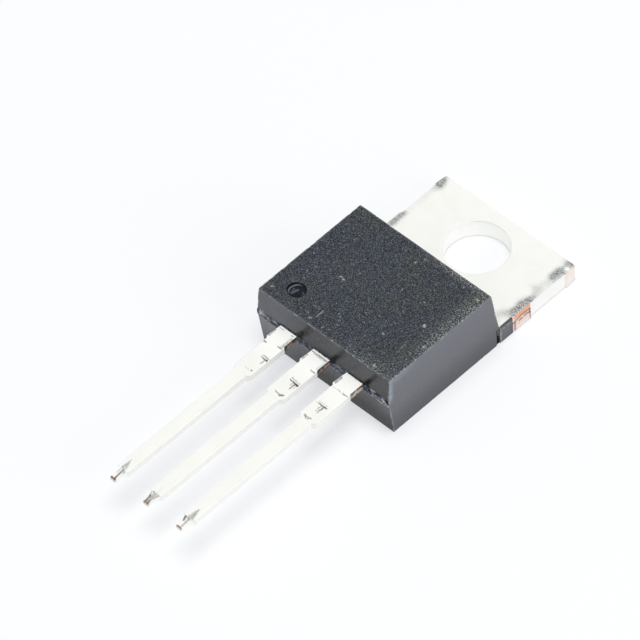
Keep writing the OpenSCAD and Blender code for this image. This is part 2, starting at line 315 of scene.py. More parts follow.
def plate_marks(points, from_edge, on_top):
    """How far each point is bruised and painted with dark reflection, bare, burnished, tarnished,
    stained and painted with shade, and painted lighter, each from 0 to 1.
    """
    x, y, z = points[..., 0], points[..., 1], points[..., 2]
    flat = points.reshape(-1, 3)
    lumps = scatter_noise(flat, 0.45, 5).reshape(x.shape)
    wisps = scatter_noise(flat, 0.16, 6).reshape(x.shape)

    # painted dark reflection of the rolled edge: a band along each side, strongest where the tie bars were
    # cut. Each side states its strength at a few places along it, and how far in from the edge the band's
    # middle runs
    inward = tab_x - np.abs(x)
    right = np.interp(y, [-2.9, -2.5, -1.9, -0.7, -0.2, 0.8, 1.15, 2.3, 2.7],
                      [0.3, 0.7, 1.45, 1.55, 0.42, 0.38, 0.9, 1.1, 0.95])
    left = np.interp(y, [-0.9, -0.6, 1.2, 1.7, 1.95, 2.3, 2.75], [1.15, 0.10, 0.16, 0.45, 1.2, 1.1, 0.4])
    middle = np.where(x > 0,
                      np.interp(y, [-2.8, -2.0, -1.5, -0.5, 0, 1.2], [0.66, 0.3, 0.16, 0.16, 0.42, 0.28]),
                      np.interp(y, [-1.0, 0, 1.7, 2.3], [0.2, 0.1, 0.3, 0.12]))
    reach = np.where(x > 0, 0.17 + 0.16 * lumps, 0.16 + 0.14 * lumps) * np.where(inward < middle, 1.8, 1)
    bruise_and_reflection = np.where(x > 0, right, left) * np.exp(-((inward - middle) / reach) ** 2) * (0.5 + 0.9 * lumps)
    # a painted glint: the band is left out round a spot on the right side's rim, which stays white
    glint_spot = np.hypot(x - tab_x + 0.11, y - 2.24)
    bruise_and_reflection = np.where(on_top | (z > tab_t - 0.1), bruise_and_reflection * fade(glint_spot, 0.11, 0.17), 0)

    # cut ends of the tie bars: bare copper up to the rolled rim
    depth = y - skin_end
    rim = (from_edge < 0.03) & (np.abs(x) > tab_x - 0.05) & (z > 0.001)
    in_tie = rim & (y > skin_end) & (y < side_tie_end)
    in_corner = rim & (y > corner_tie_start - 0.01)
    bare = np.where(in_tie, 1 - 0.45 * fade(z, 0.42, 0.15), np.where(in_corner, 0.36, 0))
    ridge = 0.06 * (wisps - 0.5)
    burnish = np.where(in_tie, fade(z, 0.93 + ridge, 1.0 + ridge) * fade(depth, 0.05, 0.15), 0)
    streaks = 0.5 * np.exp(-((y - 2.02) / 0.07) ** 2) * fade(z, 0.4, 0.9)
    streaks += 0.7 * np.exp(-((y - 2.55) / 0.08) ** 2) * fade(z, 0.75, 1.1)
    burnish = np.where(in_corner, streaks, np.where(x > 0, burnish, 0))
    tarnish_and_shade = np.where(in_tie & (x < 0), 0.4, 0)
    first_line = np.interp(depth, [0.1, 0.7, 1.45], [0.77, 0.93, 0.86])
    second_line = np.interp(depth, [0.4, 0.8, 1.1, 1.4], [0.54, 0.64, 0.66, 0.58])
    first_tear = np.exp(-((z - ridge - first_line) / 0.07) ** 2)
    second_tear = np.exp(-((z - ridge - second_line) / 0.085) ** 2)
    second_tear *= fade(depth, 0.4, 0.55) * fade(wisps, 0.2, 0.5)
    # the seam by the skin is a painted shadow between skin and copper
    seams = np.exp(-((depth - 0.17) / 0.07) ** 2) * fade(z, 0.85, 0.7)
    seams += np.exp(-((depth - 1.41) / 0.055) ** 2) * fade(z, 1.0, 0.85)
    stain_and_shade = np.where(in_tie, np.clip(0.95 * first_tear + 0.9 * second_tear + 0.85 * seams, 0, 1), 0)
    # painted contact shade along the foot of the tab's sides
    at_side = (from_edge == 0) & (y > skin_end)
    stain_and_shade = np.maximum(stain_and_shade, np.where(at_side, 0.3 * fade(z, 0.10, 0.02), 0))
    polish = fade(np.hypot(x, y), hole_r + 0.03, hole_r + 0.003)
    # painted light: the hole's wall and the tab's sides are painted whiter against their shade
    return {"bruise_and_reflection": np.clip(bruise_and_reflection, 0, 1), "bare": bare, "burnish": burnish, "tarnish_and_shade": tarnish_and_shade,
            "stain_and_shade": stain_and_shade, "painted_light": np.maximum(polish, 0.8 * at_side), "polish": polish}


# The centre lead's line, as part of the same metal: from the header it turns up, climbs, and
# turns back level, and then runs straight out to its tip.
strip_t = lead_high[2] - lead_low[2]
lead_z = lead_low[2]
bend_angle = np.radians(55)
bend_r = 0.5
bend_to_front = 0.35                # level stretch between the bend and the front wall
front_y = body_low[1] + 0.08        # the front wall, behind its flash
tip_y = lead_low[1]
lead_mid_z = lead_z + strip_t / 2


def lead_stations():
    """Distances along a straight lead, from the front wall out: close together over the shoulder
    with its press marks and over the tip, further apart between."""
    return spread((front_y + 0.3, front_y - 4.4, 0.032), (front_y - 4.4, tip_y + 1.4, 0.12),
                  (tip_y + 1.4, tip_y, 0.03))[::-1]


def lead_edges(y, inner_left, inner_right):
    """Left and right edge of a lead against its centre line at each y. Outside the body it has
    the dam bar's trimmed stub, set over to the left, the shoulder, the narrow part, hollow
    quarter-ellipse shoulders and the nub. Inside, the edges follow the given (y, x) corners."""
    shoulder, narrow, nub, flare = 0.64, 0.42, 0.19, 0.42
    stub_end, shoulder_end = front_y - 1.05, front_y - 3.75
    half = np.interp(-y, [-shoulder_end, -shoulder_end + 0.22], [shoulder, narrow])
    into = np.clip((tip_y + 2 * flare - y) / flare, 0, 1)
    half = half - (narrow - nub) * (1 - (1 - into) ** 2) ** 0.5
    left = -half - np.interp(-y, [-front_y, -stub_end, -stub_end + 0.12], [0.03, 0.11, 0])
    right = half - np.interp(-y, [-stub_end, -stub_end + 0.03], [0.06, 0])
    within = y > front_y
    for side, corners in ((left, inner_left), (right, inner_right)):
        ys, xs = np.array(corners).T
        side[within] = np.interp(y[within], ys, xs)
    return left, right


def lead_section():
    """One turn round a lead's rolled section, clockwise seen from the tip: for each column the
    share across from left to right, the share up, and the offsets of the rounded corners."""
    soft, crisp = 0.05, 0.02
    turn = np.linspace(0, np.pi / 2, 5)
    top = [(a, 1, soft * (1 - 2 * a), 0) for a in np.linspace(0, 1, 36)]
    right_roll = [(1, 1, soft * (np.sin(t) - 1), soft * (np.cos(t) - 1)) for t in turn[1:]]
    right = [(1, c, 0, soft * -c + crisp * (1 - c)) for c in np.linspace(1, 0, 7)[1:]]
    right_foot = [(1, 0, crisp * (np.cos(t) - 1), crisp * (1 - np.sin(t))) for t in turn[1::2]]
    under = [(a, 0, crisp * (1 - 2 * a), 0) for a in np.linspace(1, 0, 12)[1:]]
    left_foot = [(0, 0, crisp * (1 - np.sin(t)), crisp * (1 - np.cos(t))) for t in turn[1::2]]
    left = [(0, c, 0, soft * -c + crisp * (1 - c)) for c in np.linspace(0, 1, 7)[1:]]
    left_roll = [(0, 1, soft * (1 - np.cos(t)), soft * (np.sin(t) - 1)) for t in turn[1:-1]]
    return np.array(top + right_roll + right + right_foot + under + left_foot + left + left_roll).T


# Every lead's marks. Each stroke is (x, y, end x, end y, start width, end width, strength), with x
# against the lead's centre line. Dents are pressed in and darkened with painted shade, smears drag
# the plating and those near the tip are painted dark reflections, and soot is dark dirt by the cut tip.
tool_marks = {
    "input": dict(
        dents=(
            (-0.56, -12.5, -0.28, -12.5, 0.035, 0.035, 0.6), (0.31, -12.5, 0.44, -12.5, 0.04, 0.04, 0.6),
            (0.26, -13.57, 0.56, -13.57, 0.02, 0.055, 0.8),
            (-0.67, -13.79, -0.41, -13.79, 0.07, 0.03, 0.9),
            (0.18, -14.56, 0.57, -14.56, 0.045, 0.045, 0.7), (0.09, -14.6, 0.1, -14.69, 0.04, 0.04, 0.4),
            (0.16, -14.72, 0.59, -14.72, 0.03, 0.09, 0.9), (0.44, -14.8, 0.44, -15.06, 0.045, 0.04, 0.6),
            (-0.07, -15.77, 0.26, -15.85, 0.03, 0.035, 0.25),
            (0.4, -15.77, 0.41, -15.79, 0.06, 0.06, 0.9),
        ),
        smears_and_reflections=(
            (-0.66, -12.8, -0.66, -13.3, 0.08, 0.08, 0.9), (0.5, -12.7, 0.49, -13.5, 0.1, 0.11, 0.7),
            (-0.08, -24.78, 0.01, -25.32, 0.04, 0.18, 0.85),
        ),
        soot_and_shade=(
            (0.08, -25.52, 0.1, -26.2, 0.07, 0.06, 0.8), (-0.09, -25.35, -0.07, -25.85, 0.05, 0.05, 0.3),
            (0.17, -25.54, 0.26, -25.74, 0.07, 0.04, 0.5), (-0.1, -26.25, 0.18, -26.27, 0.06, 0.07, 0.9),
        ),
    ),
    "ground": dict(
        dents=(
            (-0.58, -12.52, 0.58, -12.52, 0.04, 0.05, 0.7), (0.27, -13.57, 0.58, -13.57, 0.02, 0.06, 0.8),
            (-0.07, -14.66, 0.53, -14.71, 0.04, 0.03, 0.55),
            (-0.1, -14.66, -0.04, -14.66, 0.045, 0.045, 0.8),
            (-0.12, -14.79, 0.53, -14.88, 0.03, 0.085, 0.9),
            (0.35, -14.89, 0.35, -15.29, 0.07, 0.06, 0.7), (0.18, -14.87, 0.18, -15.12, 0.045, 0.03, 0.5),
            (0.5, -14.9, 0.5, -15.2, 0.035, 0.03, 0.3), (-0.17, -15.88, 0.24, -16.02, 0.04, 0.085, 0.5),
            (0.24, -16.02, 0.41, -15.89, 0.085, 0.06, 0.8),
        ),
        smears_and_reflections=(
            (-0.64, -12.9, -0.64, -13.3, 0.07, 0.07, 0.8), (0.52, -12.75, 0.5, -13.3, 0.06, 0.09, 0.4),
            (-0.4, -12.6, 0.5, -12.61, 0.05, 0.09, 0.5), (0.02, -25.0, 0.1, -25.4, 0.05, 0.09, 0.15),
        ),
        soot_and_shade=(
            (-0.16, -25.5, -0.06, -25.52, 0.05, 0.05, 0.6),
            (-0.06, -25.52, 0.26, -25.52, 0.05, 0.06, 0.4),
            (-0.28, -25.58, -0.06, -25.9, 0.06, 0.08, 0.85),
            (0.24, -25.58, 0.15, -25.85, 0.08, 0.06, 0.5), (0.04, -25.66, 0.04, -26.25, 0.15, 0.13, 0.55),
            (-0.08, -25.9, -0.06, -26.27, 0.06, 0.07, 0.75),
            (0.11, -26.0, 0.14, -26.27, 0.05, 0.07, 0.75), (-0.06, -26.27, 0.16, -26.28, 0.05, 0.05, 0.8),
        ),
    ),
    "output": dict(
        dents=(
            (-0.55, -13.59, 0.3, -13.59, 0.03, 0.03, 0.35), (0.3, -13.59, 0.57, -13.59, 0.035, 0.05, 0.8),
            (-0.37, -14.83, 0.25, -14.83, 0.03, 0.03, 0.3),
            (-0.52, -14.98, 0.38, -14.98, 0.025, 0.025, 0.35),
            (-0.28, -14.98, 0.28, -14.98, 0.05, 0.06, 0.85),
            (-0.04, -15.02, -0.04, -15.51, 0.05, 0.035, 0.45),
            (0.12, -15.0, 0.12, -15.54, 0.08, 0.03, 0.75), (-0.3, -16.07, 0.14, -16.07, 0.05, 0.05, 0.55),
            (-0.24, -16.08, -0.08, -16.2, 0.05, 0.05, 0.6), (0.02, -16.2, 0.1, -16.08, 0.05, 0.04, 0.6),
        ),
        smears_and_reflections=(
            (-0.61, -12.85, -0.61, -13.28, 0.1, 0.1, 1.0), (0.06, -24.72, 0.1, -25.42, 0.04, 0.22, 0.85),
        ),
        soot_and_shade=(
            (-0.16, -25.56, -0.08, -25.8, 0.1, 0.06, 0.85), (0.1, -25.55, 0.12, -26.15, 0.08, 0.06, 0.5),
            (-0.08, -26.27, 0.18, -26.28, 0.05, 0.05, 0.85),
        ),
    ),
}
# how dark each dam bar's cut side is: tarnished copper with painted shade, deepest where a neighbouring
# lead stands close
stub_tarnish_and_shade = {"input": 0.95, "ground": 0.75, "output": 0.4}


def strokes(x, y, lines):
    """Cover from 0 to 1 of straight strokes. Each widens evenly from its start to its end, is full
    in its middle and fades to its sides, and the strongest one at a point counts."""
    cover = np.zeros(x.shape)
    for x0, y0, x1, y1, start_width, end_width, strength in lines:
        run = (x1 - x0) ** 2 + (y1 - y0) ** 2
        along = np.clip(((x - x0) * (x1 - x0) + (y - y0) * (y1 - y0)) / run, 0, 1)
        away = np.hypot(x - x0 - along * (x1 - x0), y - y0 - along * (y1 - y0))
        width = 1.3 * (start_width + along * (end_width - start_width))
        cover = np.maximum(cover, strength * fade(away, width, width * 0.35))
    return cover


def lead_surface(centre_x, name, inner_left=(), inner_right=(), inner_line=None):
    """A lead as its rolled section carried along its line, as (points, faces, marks). The
    stations go from the inner end to the tip, and both ends are closed by one flat face."""
    y = lead_stations()
    if inner_line is None:
        inner = np.unique([corner[0] for corner in (*inner_left, *inner_right)])[::-1]
        y = np.concatenate([inner[inner > front_y + 0.3], y])
        line_y, line_z, pitch = y, np.full(len(y), lead_mid_z), np.zeros(len(y))
    else:
        line_y, line_z, pitch = (np.concatenate(pair) for pair in zip(
            inner_line, (y, np.full(len(y), lead_mid_z), np.zeros(len(y)))))
        y = line_y
    left, right = lead_edges(y, inner_left, inner_right)
    across, up, shift_x, shift_z = lead_section()
    coin_l, coin_deep, dent_deep = 0.84, 0.08, 0.015
    coined = coin_deep * np.clip((tip_y + coin_l - y) / coin_l, 0, 1)
    half_t = strip_t / 2 - coined
    x = left[:, None] + (right - left)[:, None] * across + shift_x
    off = half_t[:, None] * (2 * up - 1) + shift_z
    top = (up == 1) & (shift_z == 0)

    stations = np.broadcast_to(line_y[:, None], x.shape)
    outside = stations < front_y
    on_top = (up == 1) & outside
    made = tool_marks[name]
    in_plan = np.stack([x, stations, 0 * x], -1).reshape(-1, 3)
    wobble = 0.07 * (scatter_noise(in_plan, 0.13, 14).reshape(x.shape) - 0.5)
    depth = np.where(top & outside, strokes(x + wobble, stations + wobble, made["dents"]), 0)
    off = off - dent_deep * depth
    points = np.stack([centre_x + x, stations + off * np.sin(pitch)[:, None],
                       line_z[:, None] + off * np.cos(pitch)[:, None]], -1)

    flat = points.reshape(-1, 3)
    wisps = scatter_noise(flat, 0.10, 11).reshape(x.shape)
    bruise_and_reflection = np.where(on_top, strokes(x, stations, made["smears_and_reflections"]) * (0.4 + 0.9 * wisps), 0)
    cut_side = (across == 1) & (shift_x > -0.01) & (stations > front_y - 1.03) & outside
    height = (off + half_t[:, None]) / (2 * half_t[:, None])
    near_body = fade(stations, front_y - 0.75, front_y - 0.1)
    at_tip = np.where(outside, fade(stations, tip_y + 0.10, tip_y + 0.02), 0)
    dull = stub_tarnish_and_shade[name]
    bare = np.where(cut_side, 0.4 + 0.6 * dull, at_tip * (0.3 + 0.7 * height))
    tarnish_and_shade = np.where(cut_side, dull * (1 - 0.6 * near_body * (wisps > 0.4)), 0.5 * at_tip * height)
    burnish = np.where(cut_side, 0.7 * near_body * dull ** 2, 0)
    # stains on the cut side, its darkness partly painted shade
    patches = scatter_noise(flat * [0.3, 1, 0.6], 0.15, 12).reshape(x.shape)
    stain_and_shade = fade(height, 0.55, 0.78) * (0.5 + 0.5 * wisps) + 0.7 * fade(patches, 0.50, 0.64)
    stain_and_shade += 0.7 * near_body * wisps + 0.6 * fade(stations, front_y - 0.90, front_y - 0.98)
    stain_and_shade = np.where(cut_side, np.clip(stain_and_shade, 0, 1), 0)
    dirt_and_shade = strokes(x, stations, made["soot_and_shade"]) * (0.7 + 0.5 * wisps)
    stain_and_shade = np.maximum(stain_and_shade, np.where(on_top, dirt_and_shade, 0))
    # painted shade in the dents
    stain_and_shade = np.maximum(stain_and_shade, depth * (0.75 + 0.5 * wisps))
    # below zero at the foot of the cut end, so that its dark upper part ends halfway down
    stain_and_shade = np.where((at_tip > 0) & ~on_top, at_tip * (1.7 * height - 0.8), stain_and_shade)
    # painted light: the lead's sides, underside and ends are painted whiter, and its top whiter towards the
    # body, against their shade
    painted_light = np.where(up == 1, fade(stations, front_y - 3.0, front_y - 0.8), 1.0) * outside

    rows, columns = x.shape
    faces = grid_quads(rows, columns, around=True).tolist()
    faces += [list(range(columns))[::-1], list(range((rows - 1) * columns, rows * columns))]
    hollow = fade(stations, tip_y + 0.90, tip_y + 0.80) * (up < 1)
    marks = {"bruise_and_reflection": bruise_and_reflection, "bare": bare, "burnish": burnish, "tarnish_and_shade": tarnish_and_shade, "stain_and_shade": stain_and_shade,
             "painted_light": painted_light, "polish": 0.8 * hollow * outside}
    return flat, faces, {key: np.clip(value, -1, 1).ravel() for key, value in marks.items()}


def climbing_line():
    """The centre lead's hidden line from the header to the front wall, as (y, z, pitch). The
    pitch turns up over one bend, stays, and turns back over the other, and the line is its
    running sum, shifted so that it ends level at the lead's height."""
    low_z = tab_t - strip_t / 2
    climb = lead_mid_z - low_z
    slope = (climb - 2 * bend_r * (1 - np.cos(bend_angle))) / np.sin(bend_angle)
    arc = bend_r * bend_angle
    s = np.linspace(-0.4, 2 * arc + slope + 0.05, 80)
    pitch = bend_angle * (np.clip(s / arc, 0, 1) - np.clip((s - arc - slope) / arc, 0, 1))
    step = np.diff(s)
    middle = (pitch[1:] + pitch[:-1]) / 2
    y = -np.concatenate([[0], np.cumsum(np.cos(middle) * step)])
    z = np.concatenate([[0], np.cumsum(np.sin(middle) * step)])
    return y - y[-1] + front_y + bend_to_front, z - z[-1] + lead_mid_z, pitch


plate_points, plate_from_edge, plate_top = spreader_plate()
plate_rows, plate_columns = plate_points.shape[:2]
plate_faces = grid_quads(plate_rows, plate_columns, around=True, ring=True)
plate_features = plate_marks(plate_points, plate_from_edge, plate_top)
line = climbing_line()
halfway = line[0][len(line[0]) // 2]
strip_left = ((front_y, -0.70), (halfway, -0.95), (line[0][0], -0.95))
strip_right = ((front_y, 0.58), (halfway, 0.95), (line[0][0], 0.95))
blade_points, blade_faces, blade_features = lead_surface(0, "ground", strip_left, strip_right, line)
first = plate_rows * plate_columns
tinned = tin_plated_copper()
heat_spreader = make_piece(
    "tinned_heat_spreader",
    np.concatenate([plate_points.reshape(-1, 3), blade_points]),
    plate_faces.tolist() + [[first + i for i in face] for face in blade_faces],
    tinned,
    {key: np.concatenate([plate_features[key].ravel(), blade_features[key]]) for key in plate_features})
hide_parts("heat_spreader")

# ---------------------------------------------------------------------------------------
# Outer leads: thin gauge of the same strip, cut free of the header. The inner end of each is a
# wide post that takes the bond wire and that the moulding locks on.
# ---------------------------------------------------------------------------------------
pitch_x = 2.54
post_front = front_y + 0.55
post_back = post_front + 1.4
post_in, post_out = 1.55 - pitch_x, 4.30 - pitch_x
for side, name in ((-1, "input"), (1, "output")):
    inner = [(front_y, -0.64 * side), (post_front - 0.01, -0.64 * side),
             (post_front + 0.27, post_in * side), (post_back, post_in * side)]
    outer = [(front_y, 0.64 * side), (post_front, 0.64 * side),
             (post_front + 0.01, post_out * side), (post_back, post_out * side)]
    edges = (outer, inner) if side < 0 else (inner, outer)
    lead_points, lead_faces, lead_features = lead_surface(side * pitch_x, name, *edges)
    lead = make_piece(f"tinned_{name}_lead", lead_points, lead_faces, tinned, lead_features)
    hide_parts(f"{name}_lead")

# ---------------------------------------------------------------------------------------
# Chip, its solder and its bond wires: a polished silicon chip soldered down on the header, with
# drawn aluminium wires bonded to it. They are sealed in the body, so they keep their plain solids.
# ---------------------------------------------------------------------------------------


def polished_silicon():
    """Sawn and polished silicon: a dark blue-grey mirror with faint saw lines at the edges."""
    material, tree, shader = new_material("polished_silicon")
    # saw lines of about 0.01 mm are drawn 0.05 mm apart
    lines = remap(tree, grain(tree, 0.05, stretch=(0.2, 0.2, 3)), 0.4, 0.6)
    tree.links.new(blend(tree, lines, "#6C7484", "#565E6E"), shader.inputs["Base Color"])
    shader.inputs["Metallic"].default_value = 1
    shader.inputs["Roughness"].default_value = 0.12
    return material


def soft_solder():
    """Lead-rich soft solder, reflowed: dull grey with a coarse frosted grain."""
    material, tree, shader = new_material("soft_solder")
    frost = grain(tree, 0.15, detail=4)
    tree.links.new(blend(tree, frost, "#9A9B99", "#B9BAB6"), shader.inputs["Base Color"])
    shader.inputs["Metallic"].default_value = 1
    tree.links.new(remap(tree, frost, 0.3, 0.7, 0.35, 0.55), shader.inputs["Roughness"])
    return material


def drawn_aluminium():
    """Drawn aluminium wire: bright, with fine lines from the die."""
    material, tree, shader = new_material("drawn_aluminium")
    # die lines of about 0.005 mm are drawn 0.03 mm apart
    die = grain(tree, 0.03, stretch=(3, 0.2, 1))
    tree.links.new(blend(tree, die, "#DADCDE", "#C6C9CC"), shader.inputs["Base Color"])
    shader.inputs["Metallic"].default_value = 1
    tree.links.new(remap(tree, die, 0.3, 0.7, 0.22, 0.34), shader.inputs["Roughness"])
    return material


wire = drawn_aluminium()
inner_finishes = {"chip": polished_silicon(), "chip_solder": soft_solder(),
                  "input_wire": wire, "output_wire": wire, "ground_wire": wire}
for name, finish in inner_finishes.items():
    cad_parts[name].data.materials.clear()
    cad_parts[name].data.materials.append(finish)

# ---------------------------------------------------------------------------------------
# Moulded body: silica-filled epoxy, transfer-moulded round the frame in one shot. The cavity's
# top was spark-eroded and leaves a fine grain, its walls were ground smooth, and a film of
# flash is left where the two mould halves met at the leads.
# ---------------------------------------------------------------------------------------
body_h = body_high[2]
half_w = body_high[0]
length = back_y - front_y
edge_r = 0.035
side_draft, front_draft, back_draft, foot_draft = np.tan(np.radians((0.6, 6.5, 7.5, 11)))
flash_low, flash_high = lead_z - 0.05, lead_z + strip_t
dimple_x, dimple_y = -3.385, -10.87
recess_deep = 0.3                   # how far the shell is hollowed for the header
notch_y = back_y - 0.28             # the notch between each skin and the side wall
notch_z = tab_t + 0.08


def brick_lines(low, high, step, extra=(), clear=()):
    """Grid lines from low to high. Both ends get the close lines that divide a rounded edge into
    equal angles. Extra lines are added, and even lines inside a clear stretch are left out."""
    rounding = edge_r * (1 - np.tan(np.pi / 4 * np.arange(5) / 4))
    even = spread((low + edge_r, high - edge_r, step))
    for start, stop in clear:
        even = even[(even < start) | (even > stop)]
    return np.unique(np.round(np.concatenate([low + rounding, even, high - rounding, list(extra)]), 5))


def brick_shell(xs, ys, zs):
    """The skin of a block of grid lines: its points, quads that face outwards, and for each
    point and axis -1 at the block's low end, 1 at its high end and 0 between."""
    counts = np.array((len(xs), len(ys), len(zs)))
    place = np.stack(np.meshgrid(*(np.arange(n) for n in counts), indexing="ij"), -1)
    skin = ((place == 0) | (place == counts - 1)).any(-1)
    index = np.full(counts, -1)
    index[skin] = np.arange(skin.sum())
    i, j, k = place[skin].T
    points = np.stack([xs[i], ys[j], zs[k]], 1)
    quads = []
    for axis in range(3):
        for end, flip in ((0, True), (-1, False)):
            sheet = np.take(index, end, axis=axis)
            if (axis == 1) != flip:
                sheet = sheet.T
            corners = [sheet[:-1, :-1], sheet[1:, :-1], sheet[1:, 1:], sheet[:-1, 1:]]
            quads.append(np.stack(corners, -1).reshape(-1, 4))
    ends = (place[skin] == counts - 1).astype(int) - (place[skin] == 0)
    return points, np.concatenate(quads), ends


def round_edges(points, low, high, radius):
    """Moves each skin point onto the block with rounded edges: the nearest point of the block
    shrunk by the radius, plus the radius in the direction from there. Returns the outward
    directions too."""
    inner = np.clip(points, np.array(low) + radius, np.array(high) - radius)
    away = points - inner
    outward = away / np.linalg.norm(away, axis=1, keepdims=True)
    return inner + radius * outward, outward


def body_surface():
    """The body's shell. A rounded block gets, in turn: rings bent round for the dimple, the
    header's recess underneath, chipped edges, drafted walls, crumbly flash and side notches."""
    ring = np.array([0, 0.06, 0.12, 0.18, 0.24, 0.30, 0.36, 0.41, 0.45, 0.48, 0.51, 0.54, 0.565, 0.58,
                     0.595, 0.61, 0.63, 0.66, 0.72, 0.80, 0.90, 1.0])
    ring = np.concatenate([-ring[::-1], ring])
    window = 1.001
    low, high = (-half_w, front_y, 0), (half_w, back_y, body_h)
    open_lines = [header_open_x, header_open_x - 0.004]
    xs = brick_lines(-half_w, half_w, 0.078,
                     [*(dimple_x + ring), *open_lines, *(-line for line in open_lines)],
                     [(dimple_x - window, dimple_x + window)])
    ys = brick_lines(front_y, back_y, 0.078,
                     [*(dimple_y + ring), header_open_y, header_open_y + 0.004, notch_y, notch_y + 0.004],
                     [(dimple_y - window, dimple_y + window)])
    zs = brick_lines(0, body_h, 0.09, spread((flash_low - 0.14, flash_high + 0.06, 0.03)).tolist()
                     + [notch_z, notch_z + 0.004])
    block, quads, ends = brick_shell(xs, ys, zs)
    points, outward = round_edges(block, low, high, edge_r)
    on_top, at_front, at_right = ends[:, 2] == 1, ends[:, 1] == -1, ends[:, 0] == 1

    # rings of the grid turn into circles inside the dimple's window
    dx, dy = points[:, 0] - dimple_x, points[:, 1] - dimple_y
    square = np.maximum(np.abs(dx), np.abs(dy))
    circle = np.hypot(dx, dy)
    inside = on_top & (square < 1) & (circle > 0)
    pull = np.where(inside, fade(square, 0.99, 0.68), 0)
    scale = 1 + pull * (square / np.maximum(circle, 1e-9) - 1)
    points[:, 0] = np.where(inside, dimple_x + dx * scale, points[:, 0])
    points[:, 1] = np.where(inside, dimple_y + dy * scale, points[:, 1])
    wall = 0.10 * fade(square, 0.605, 0.588) + 0.05 * fade(square, 0.59, 0.50)
    points[:, 2] -= np.where(on_top, wall, 0)

    # the dimple's painted light and shade: a painted black shadow ring, a painted bright arc inside it on
    # the left, and two light streaks with a small painted glint at the lower right
    turn = np.degrees(np.arctan2(dy, -dx))
    arc_r = 0.465 + 0.07 * fade(turn, 15, 85)
    ring_w = 0.03 + 0.05 * fade(np.abs(turn - 35), 75, 25)
    pit = np.where(on_top, fade(square, 0.612, 0.59), 0)
    shade = fade(square, 0.59 - ring_w, 0.61 - ring_w) + 0.35 * fade(dx - dy, 0.1, 0.7)
    pit_ring = pit * np.clip(shade, 0, 1)
    arc = np.exp(-((square - arc_r) / 0.035) ** 2) * fade(np.abs(turn - 12), 88, 30)
    scale = square / np.maximum(circle, 1e-9)
    streaks_and_glint = strokes(dx * scale, dy * scale, ((-0.26, 0.10, -0.22, -0.16, 0.05, 0.04, 0.35),
                                             (-0.03, 0.16, -0.14, -0.28, 0.07, 0.07, 0.5),
                                             (0.30, 0.20, 0.44, 0.14, 0.05, 0.05, 0.3),
                                             (0.44, 0.14, 0.42, 0.02, 0.05, 0.05, 0.25)))
    pit_light = pit * np.clip(arc + streaks_and_glint, 0, 1)

    # the header lies in a recess underneath, open to the back
    under = (ends[:, 2] == -1) & (np.abs(block[:, 0]) < header_open_x - 0.002)
    under &= block[:, 1] > header_open_y + 0.002
    points[:, 2] += np.where(under, recess_deep, 0)

    # chips along the edges, and the front right corner above the leads, which was knocked
    gaps = np.sort(np.minimum(block - low, np.array(high) - block), axis=1)
    near = np.exp(-(gaps[:, 1] / 0.06) ** 2)
    chips = fade(scatter_noise(points, 0.13, 21), 0.45, 0.75)
    nicks = fade(scatter_noise(points, 0.5, 22), 0.3, 0.7)
    from_front = block[:, 1] - front_y
    knocked = fade(from_front, 2.0, 0.6) * fade(block[:, 2], flash_low, body_h - 0.3) * (block[:, 0] > 0)
    wear_and_highlight = near * np.clip((0.3 + 0.7 * chips) * (0.35 + 0.65 * nicks) + knocked * chips, 0, 1)
    # a painted highlight line along the top right edge
    wear_and_highlight = np.maximum(wear_and_highlight, np.where(at_right & on_top, 0.35 + 0.65 * chips, 0))
    crumbled = near * chips * fade(block[:, 2], 0.15, 0.35)
    points -= outward * (crumbled * (0.025 * nicks + 0.03 * knocked))[:, None]
    from_right, from_rim = half_w - block[:, 0], body_h - block[:, 2]
    blotches = scatter_noise(points, 0.16, 23)
    scuff_and_highlight = fade(from_front, 0.5, 0.1) * fade(block[:, 2], flash_low - 0.1, flash_high + 0.3)
    scuff_and_highlight = np.maximum(scuff_and_highlight, 0.5 * fade(from_rim, 0.7, 0.1) * fade(from_front, 3.0, 0.5))
    scuff_and_highlight = np.where(at_right & ~on_top, np.clip(scuff_and_highlight * (0.5 + 1.0 * blotches), 0, 1), 0)
    # a painted highlight down the right side's front edge below the leads
    bright = np.where(at_right, fade(from_front, 0.11, 0.05), 0)
    bright *= fade(block[:, 2], flash_low, flash_low - 0.2)
    scuff_and_highlight = np.maximum(scuff_and_highlight, bright * (0.5 + 0.5 * fade(np.abs(block[:, 2] - 1.55), 0.12, 0.05)))
    coarse = fade(from_right, 1.3, 0.0) * fade(block[:, 1], front_y, back_y - 1.5) ** 0.5
    coarse = np.maximum(coarse, fade(back_y - block[:, 1], 0.6, 0.1) * fade(block[:, 0], -1.0, 3.0))
    coarse = np.maximum(coarse, 0.5 * fade(from_front, 1.2, 0.1) * fade(block[:, 0], 0.0, 3.5))

